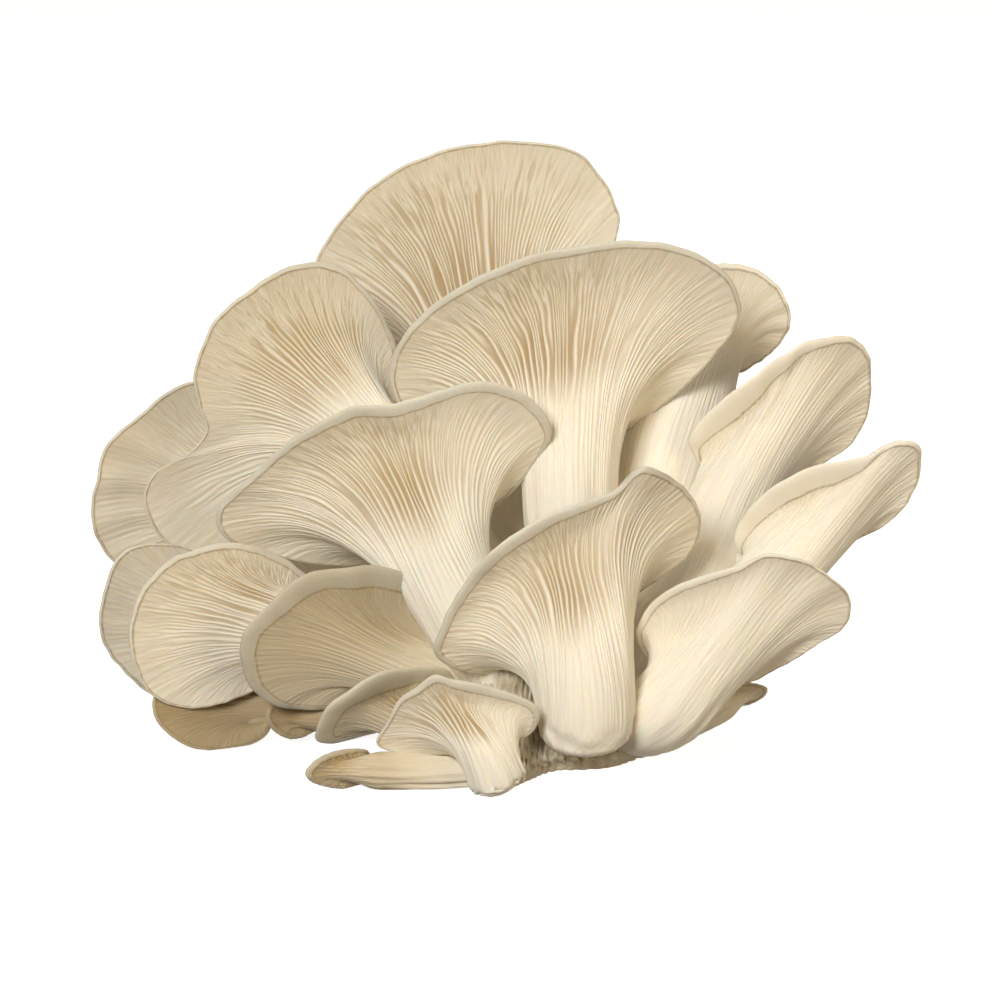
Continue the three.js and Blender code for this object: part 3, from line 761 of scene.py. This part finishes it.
def rolled_rim(recipe, corners, spokes, lip, outward, axis):
    """The rings of the rim from the lip over to the top, half its thickness, and how far round each ring is.

    The rim rolls over on half an ellipse, outwards by the width of its roll and back along the axis by
    twice half its thickness. A hem stands up next to the lip.
    """
    narrow, wide, facing = recipe["edge"]
    roll = narrow + (wide - narrow) * turned_to(spokes, facing) ** 2
    if len(recipe["rim"][0]) == 3:
        widths = np.array([point[2] for point in recipe["rim"]], float)
        roll = np.maximum(closed_curve(np.column_stack([corners, widths]), len(lip))[:, 3], narrow)
    half = RIM_THIN * np.minimum(roll, RIM_HALF + RIM_HALF_GROWTH * roll)
    turn = (np.pi * (np.arange(1, RIM_ROWS + 1) / RIM_ROWS) ** ROLL_CROWDING)[:, None]
    past_lip = turn * roll
    hem = HEM_RISE * np.exp(-((past_lip / HEM_WIDTH - 1) ** 2)) * np.minimum(1, roll)
    rim_out = (roll * np.sin(turn))[..., None] * outward
    rim_back = (half * (1 - np.cos(turn)) - hem)[..., None] * axis
    return lip + rim_out + rim_back, half, past_lip


def cap_top(recipe, seed, u, curve, half, inward, axis, climb):
    """The rings of the top, the rings that close over the funnel, and its middle.

    The top is the gill side set off along its normal, evened round the ring and leaned to the axis. The
    set-off grows from the rim's thickness to that of the flesh. Straight lines close the funnel.
    """
    down = np.linspace(1, FUNNEL_SHARE, TOP_ROWS + 1)[1:]
    share = ((1 - down) / (1 - FUNNEL_SHARE)) ** FLESH_GROWTH
    thick = 2 * half + (recipe.get("flesh", FLESH) - 2 * half) * share[:, None]
    under = pulled(*curve, down)
    before = pulled(*curve, down - SHORT_STEP)
    into = inward * unit(np.cross(np.roll(under, -1, axis=1) - np.roll(under, 1, axis=1), under - before))
    into = unit(evened(into, SET_OFF_EVENED) + SET_OFF_LEAN * axis)
    thick = thick + TOP_WAVE * share[:, None] * ripple(u, down[:, None], seed + 7, *WAVES["cap_top"])
    top = (under + thick[..., None] * into)[:, ::TOP_SHARE]
    funnel = top[-1]
    centre = funnel.mean(axis=0)
    centre = centre - FUNNEL_DIP * np.linalg.norm(funnel - centre, axis=1).mean() * climb
    close = np.linspace(0, 1, FUNNEL_ROWS + 1)[1:-1, None, None]
    return top, funnel * (1 - close) + centre * close, centre


def mushroom(recipe, seed):
    """The rings of one mushroom from foot to funnel, and the marks that its finish reads.

    Each gill runs along a cubic curve from the neck ring to the rim, leaving along the stem and arriving
    outwards. Gills, ridges and fibres lift stem and gill side along their normal.
    """
    columns = COLUMNS[recipe["size"]]
    u = np.arange(columns) / columns
    lip, corners, spokes, flat, axis = cap_rim(recipe, seed, u)
    stem, round_foot, foot_pole, climb = stem_rings(recipe, u, spokes)
    neck_ring = stem[-1]

    # The curves of the gill side.
    reach = np.linalg.norm(lip - neck_ring, axis=1)[:, None]
    outward = unit(flat - RIM_CURL * axis)
    leaving = unit(outward - STRAIGHTENING * np.minimum(0, outward @ climb)[:, None] * climb)
    start_pull, end_pull = recipe.get("flare", FLARE)
    curve = (neck_ring, neck_ring + start_pull * reach * climb, lip - end_pull * reach * leaving, lip)
    hem_step = HEM_WIDTH / (3 * end_pull * reach.mean())
    first_row, *hem_rows = 1 - hem_step * np.array(HEM_ROWS)
    out = np.linspace(0, first_row, GILL_ROWS[recipe["size"]])[1:]
    out = np.concatenate([out, hem_rows, [1]])
    edge_normal = normals_of(pulled(*curve, LAST_STEPS))[-1]
    inward = np.sign(np.sum(edge_normal @ axis))

    # Stem and gill side with their relief, then the rim and the top.
    body = np.concatenate([stem, pulled(*curve, out)])
    way = np.concatenate([np.linspace(-1, 0, STEM_ROWS), out])[:, None]
    room = np.linalg.norm(np.roll(body, -1, axis=1) - body, axis=2) * columns
    lift, body_marks = gill_relief(recipe, seed, u, way, room, spokes)
    body = body - inward * lift[..., None] * normals_of(body)
    rolled, half, past_lip = rolled_rim(recipe, corners, spokes, lip, outward, axis)
    top, closing, centre = cap_top(recipe, seed, u, curve, half, inward, axis, climb)

    # The dark line of the lip, which comes and goes, and the skin.
    line = LINE_MEAN + LINE_VARIES * ripple(u, 0, seed + 8, *WAVES["lip_line"])
    line = np.clip(line, LINE_LEAST, 1)
    body_marks["lip"] = np.zeros((len(way), columns))
    body_marks["lip"][-len(LINE_ON_GILLS):] = LINE_ON_GILLS[:, None] * line
    stem_marks = {key: values[:STEM_ROWS] for key, values in body_marks.items()}
    gill_marks = {key: values[STEM_ROWS:] for key, values in body_marks.items()}
    pale_skin = recipe.get("pale_skin", 0)
    # Skin and rim carry the mushroom's own tan and painted shade too.
    skin_marks = dict(skin=1 - pale_skin, stem=pale_skin, tan_and_shade=recipe.get("tan_and_shade", 0))
    rim_skin = smooth(past_lip, 0, SKIN_START)
    rim_marks = dict(
        skin=(1 - pale_skin) * rim_skin,
        stem=pale_skin * rim_skin,
        lip=LINE_ON_RIM * line * np.exp(-((past_lip / HEM_WIDTH) ** 2)),
        tan_and_shade=recipe.get("tan_and_shade", 0),
    )

    # Each stretch in order: its rings, how many columns each of their points stands for, and its marks.
    stretches = [
        (foot_pole[None, None], columns, dict(stem=1)),
        (round_foot[:, ::STEM_SHARE], STEM_SHARE, dict(stem=1)),
        (body[:STEM_ROWS, ::STEM_SHARE], STEM_SHARE, stem_marks),
        (body[STEM_ROWS:], 1, gill_marks),
        (rolled, 1, rim_marks),
        (top, TOP_SHARE, skin_marks),
        (closing, TOP_SHARE, skin_marks),
        (centre[None, None], columns, dict(skin=1)),
    ]
    rings = [ring for grid, _, _ in stretches for ring in grid]
    marks = []
    for grid, step, given in stretches:
        shape = (len(grid), columns)
        full = np.stack([np.broadcast_to(np.float64(given.get(key, 0)), shape) for key in MARKS])
        marks.append(full[..., ::step].reshape(len(MARKS), -1))
    return rings, np.concatenate(marks, axis=1)


def torn_base():
    """The rings of the base, and how far each point is torn.

    The outline is drawn in and shifted away level by level. Seeded lumps, flakes and fibres, added up,
    move its side outwards and, higher up, upwards.
    """
    u = np.arange(BASE_COLUMNS) / BASE_COLUMNS
    corners = np.array([(x, y, 0) for x, y in BASE_OUTLINE]) - CUT_FACE_MIDDLE * (1, 1, 0)
    outline = closed_curve(corners, BASE_COLUMNS)
    out = unit(outline * (1, 1, 0))
    outline = outline + np.abs(ripple(u, 0, BASE_SEED + 4, *WAVES["base_edge"]))[:, None] * out
    level = np.linspace(0, len(BASE_HEIGHTS) - 1, BASE_ROWS)[1:-1]
    steps = np.arange(len(BASE_HEIGHTS))
    height = np.interp(level, steps, BASE_HEIGHTS)[:, None]
    share = np.interp(level, steps, BASE_SHARES)[:, None, None]
    shift = np.interp(level, steps, BASE_SHIFTS)[:, None, None]
    lumps = BASE_LUMPS * ripple(u, level[:, None], BASE_SEED + 1, *WAVES["base_lumps"])
    flakes = BASE_FLAKES * np.abs(ripple(u, level[:, None], BASE_SEED + 2, *WAVES["base_flakes"]))
    fibres = BASE_FIBRES * ripple(u, level[:, None], BASE_SEED + 3, *WAVES["base_fibres"])
    torn = (lumps + flakes + fibres) * smooth(height, *TEAR_STARTS)
    side = outline * share + shift * np.array([0, 1, 0])
    side = side + BASE_TEAR * torn[..., None] * np.sqrt(share) * out
    side[..., 2] = height + TEAR_LIFT * BASE_TEAR * torn * smooth(height, *TEAR_LIFTS)
    floor_rings = outline * FLOOR_SHARES[:, None, None]
    rings = [np.zeros((1, 3)), *floor_rings, *side, np.array([[0, BASE_SHIFTS[-1], BASE_HEIGHTS[-1]]])]
    flat_points = 1 + len(FLOOR_SHARES) * BASE_COLUMNS
    tear = np.concatenate([np.zeros(flat_points), torn.ravel(), np.zeros(1)])
    return rings, tear[None]


def between(low, high, at_low, at_high):
    """Faces between two rings: four-sided where they have as many points, and fans where one has more.

    A ring of one point closes the surface with a fan.
    """
    m, k = len(low), len(high)
    spans = max(min(m, k), 1)
    j = np.arange(spans)
    if m == k:
        step = (j + 1) % m
        return np.stack([at_low + j, at_low + step, at_high + step, at_high + j], axis=1), None
    i = np.arange(max(m, k))
    after = (i + 1) % max(m, k)
    if k == 1:
        return None, np.stack([at_low + i, at_low + after, np.full(m, at_high)], axis=1)
    if m == 1:
        return None, np.stack([np.full(k, at_low), at_high + after, at_high + i], axis=1)
    each = max(m, k) // spans
    nearest = ((i + each // 2) // each) % spans
    centre = j * each + each // 2
    following = (j + 1) % spans
    if m > k:
        fans = np.stack([at_low + i, at_low + after, at_high + nearest], axis=1)
        gaps = np.stack([at_low + centre, at_high + following, at_high + j], axis=1)
    else:
        fans = np.stack([at_low + nearest, at_high + after, at_high + i], axis=1)
        gaps = np.stack([at_low + j, at_low + following, at_high + centre], axis=1)
    return None, np.concatenate([fans, gaps])


def surface(name, rings, marks, mark_names, material):
    """A closed mesh through rings of points, with its marks as attributes, its faces turned outwards."""
    starts = np.concatenate([[0], np.cumsum([len(ring) for ring in rings])])
    points = np.concatenate(rings)
    quads = [np.zeros((0, 4), int)]
    triangles = [np.zeros((0, 3), int)]
    for row in range(len(rings) - 1):
        four, three = between(rings[row], rings[row + 1], starts[row], starts[row + 1])
        if four is not None:
            quads.append(four)
        if three is not None:
            triangles.append(three)
    quads = np.concatenate(quads)
    triangles = np.concatenate(triangles)
    halves = np.concatenate([quads[:, [0, 1, 2]], quads[:, [0, 2, 3]], triangles])
    a, b, c = (points[halves[:, corner]] for corner in range(3))
    if np.sum(a * np.cross(b, c)) < 0:
        quads = quads[:, ::-1]
        triangles = triangles[:, ::-1]
    mesh = bpy.data.meshes.new(name)
    mesh.vertices.add(len(points))
    mesh.vertices.foreach_set("co", (points * MM).astype(np.float32).ravel())
    corners = np.concatenate([quads.ravel(), triangles.ravel()]).astype(np.int32)
    mesh.loops.add(len(corners))
    mesh.loops.foreach_set("vertex_index", corners)
    first = np.concatenate([4 * np.arange(len(quads)), 4 * len(quads) + 3 * np.arange(len(triangles))])
    mesh.polygons.add(len(first))
    mesh.polygons.foreach_set("loop_start", first.astype(np.int32))
    mesh.update(calc_edges=True)
    mesh.shade_smooth()
    for mark_name, values in zip(mark_names, marks):
        attribute = mesh.attributes.new(mark_name, "FLOAT", "POINT")
        attribute.data.foreach_set("value", values.astype(np.float32))
    mesh.materials.append(material)
    piece = bpy.data.objects.new(name, mesh)
    bpy.context.scene.collection.objects.link(piece)
    return piece


def new_material(name):
    """A material with its node tree and shader."""
    material = bpy.data.materials.new(name)
    material.use_nodes = True
    return material, material.node_tree, material.node_tree.nodes["Principled BSDF"]


def add_node(tree, kind, **values):
    """A node with its inputs or properties set by name."""
    node = tree.nodes.new(kind)
    for key, value in values.items():
        if key in node.inputs:
            node.inputs[key].default_value = value
        else:
            setattr(node, key, value)
    return node


def marked(tree, name):
    """The value of one of the piece's own marks."""
    return add_node(tree, "ShaderNodeAttribute", attribute_name=name).outputs["Fac"]


def grain(tree, scale, detail):
    """Noise over the piece's own coordinates, in metres, so scale is patches in a metre."""
    coordinates = add_node(tree, "ShaderNodeTexCoord")
    noise = add_node(tree, "ShaderNodeTexNoise", Scale=scale, Detail=detail)
    tree.links.new(coordinates.outputs["Object"], noise.inputs["Vector"])
    return noise.outputs["Fac"]


def ramped(tree, value, low, high, bottom=0.0, top=1.0):
    """The value carried from the range low to high over to bottom to top."""
    node = add_node(tree, "ShaderNodeMapRange")
    for key, number in zip(("From Min", "From Max", "To Min", "To Max"), (low, high, bottom, top)):
        node.inputs[key].default_value = number
    tree.links.new(value, node.inputs["Value"])
    return node.outputs["Result"]


def mixed(tree, factor, below, above):
    """Two colours, each a socket or a plain colour, mixed by a factor."""
    node = add_node(tree, "ShaderNodeMix", data_type="RGBA")
    tree.links.new(factor, node.inputs["Factor"])
    sockets = [s for s in node.inputs if s.type == "RGBA"]
    for socket, colour in zip(sockets, (below, above)):
        if isinstance(colour, tuple):
            socket.default_value = (*colour, 1)
        else:
            tree.links.new(colour, socket)
    return [s for s in node.outputs if s.type == "RGBA"][0]


def give_grain(tree, shader, height, strength, distance):
    """Bumps on a shader from a height."""
    bump = add_node(tree, "ShaderNodeBump", Strength=strength, Distance=distance)
    tree.links.new(height, bump.inputs["Height"])
    tree.links.new(bump.outputs["Normal"], shader.inputs["Normal"])


def flesh_finish():
    """Cream flesh, tanned towards the rim, with ochre between the gills, a grey skin and a dark lip line.

    The ochre between the gills is painted shade, the tanning is partly the flesh's own colour and partly
    painted shade, and the paler stems are partly their own colour and partly painted light.
    """
    material, tree, shader = new_material("mushroom_flesh")
    blotches = grain(tree, scale=60, detail=4)
    pores = grain(tree, scale=900, detail=4)
    cream = mixed(tree, ramped(tree, blotches, 0.35, 0.65), *CREAM)
    for mark, (low, high), most, tint in FLESH_LAYERS:
        cream = mixed(tree, ramped(tree, marked(tree, mark), low, high, top=most), cream, tint)
    skin = mixed(tree, ramped(tree, blotches, 0.3, 0.7), *SKIN_GREY)
    skin = mixed(tree, ramped(tree, pores, 0.4, 0.75, top=0.25), skin, PORE_BROWN)
    # The skin browns with the same mark, partly its own colour and partly painted shade.
    skin = mixed(tree, ramped(tree, marked(tree, "tan_and_shade"), 0, 2, top=0.8), skin, SKIN_TAN_AND_SHADE)
    colour = mixed(tree, marked(tree, "skin"), cream, skin)
    colour = mixed(tree, ramped(tree, marked(tree, "lip"), 0, 1, top=0.8), colour, LIP_BROWN)
    tree.links.new(colour, shader.inputs["Base Color"])
    tree.links.new(ramped(tree, blotches, 0.3, 0.7, bottom=0.48, top=0.66), shader.inputs["Roughness"])
    shader.inputs["Subsurface Weight"].default_value = 0.4
    shader.inputs["Subsurface Radius"].default_value = (1.0, 0.6, 0.28)
    shader.inputs["Subsurface Scale"].default_value = 0.0012
    shader.inputs["Specular IOR Level"].default_value = 0.3
    give_grain(tree, shader, pores, strength=0.15, distance=0.0002)
    return material


def tissue_finish():
    """Grey torn tissue, darker where its torn side sinks in and lighter where it stands out."""
    material, tree, shader = new_material("base_tissue")
    blotches = grain(tree, scale=140, detail=5)
    crumbs = grain(tree, scale=1300, detail=4)
    pale = mixed(tree, ramped(tree, blotches, 0.35, 0.65), *TISSUE)
    deep = ramped(tree, marked(tree, "tear"), -0.6, 1.2, bottom=0.75, top=0)
    tree.links.new(mixed(tree, deep, pale, TISSUE_DEEP), shader.inputs["Base Color"])
    tree.links.new(ramped(tree, crumbs, 0.3, 0.7, bottom=0.7, top=0.9), shader.inputs["Roughness"])
    shader.inputs["Subsurface Weight"].default_value = 0.2
    shader.inputs["Subsurface Radius"].default_value = (1.0, 0.6, 0.3)
    shader.inputs["Subsurface Scale"].default_value = 0.003
    give_grain(tree, shader, crumbs, strength=0.6, distance=0.0006)
    return material


def floor_finish():
    """Plain matt white with a glow that keeps it white far from the lights."""
    material, _, shader = new_material("pale_floor")
    shader.inputs["Base Color"].default_value = FLOOR_WHITE
    shader.inputs["Roughness"].default_value = 0.9
    shader.inputs["Emission Color"].default_value = (1, 1, 1, 1)
    shader.inputs["Emission Strength"].default_value = FLOOR_GLOW
    return material


def pale_floor():
    """A square of floor under the cut face, far wider than the cluster, that throws no light up at it."""
    corners = FLOOR_REACH * np.array([(-1, -1, 0), (1, -1, 0), (1, 1, 0), (-1, 1, 0)])
    mesh = bpy.data.meshes.new("pale_floor")
    mesh.from_pydata((corners * MM).tolist(), [], [(0, 1, 2, 3)])
    mesh.materials.append(floor_finish())
    floor = bpy.data.objects.new("pale_floor", mesh)
    bpy.context.scene.collection.objects.link(floor)
    floor.visible_diffuse = False


def soft_light(name, spot, aim, width, power, colour):
    """A square softbox at a place, turned to the point that it lights."""
    light = bpy.data.lights.new(name, "AREA")
    light.size = width * MM
    light.energy = power
    light.color = colour
    lamp = bpy.data.objects.new(name, light)
    spot = np.array(spot, float)
    lamp.location = spot * MM
    direction = unit(np.array(aim, float) - spot)
    lamp.rotation_euler = (math.acos(-direction[2]), 0, math.atan2(direction[1], direction[0]) - math.pi / 2)
    bpy.context.scene.collection.objects.link(lamp)


def studio():
    """A camera on the sight line, a key from the front left, a golden fill, a top softbox and warm air."""
    scene = bpy.context.scene
    camera = bpy.data.cameras.new("camera")
    camera.sensor_width = SENSOR_WIDTH
    camera.lens = SENSOR_WIDTH * VIEW_DISTANCE / PICTURE_WIDTH
    eye = bpy.data.objects.new("camera", camera)
    eye.location = place((0, EYE_LEVEL, -VIEW_DISTANCE)) * MM
    eye.rotation_euler = (math.pi / 2 - FALL, 0, 0)
    scene.collection.objects.link(eye)
    scene.camera = eye
    for name, (spot, width, power, colour) in SOFTBOXES.items():
        soft_light(name, spot, CLUSTER_MIDDLE, width, power, colour)
    world = bpy.data.worlds.new("pale_surroundings")
    world.use_nodes = True
    sky = world.node_tree.nodes["Background"]
    sky.inputs["Color"].default_value = WARM_AIR
    sky.inputs["Strength"].default_value = AIR_GLOW
    scene.world = world
    scene.view_settings.view_transform = "Standard"


flesh = flesh_finish()
for order, (name, recipe) in enumerate(MUSHROOMS.items()):
    rings, marks = mushroom(recipe, SEEDS_APART * (order + 1))
    for ring in rings:
        ring[:, 2] = np.maximum(ring[:, 2], FLOOR_GAP)
    piece = surface("flesh_" + name, rings, marks, MARKS, flesh)
    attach(piece, "root")
    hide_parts("mushroom_" + name)

rings, marks = torn_base()
base = surface("torn_base", rings, marks, ("tear",), tissue_finish())
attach(base, "root")
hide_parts("cluster_base")

pale_floor()
studio()
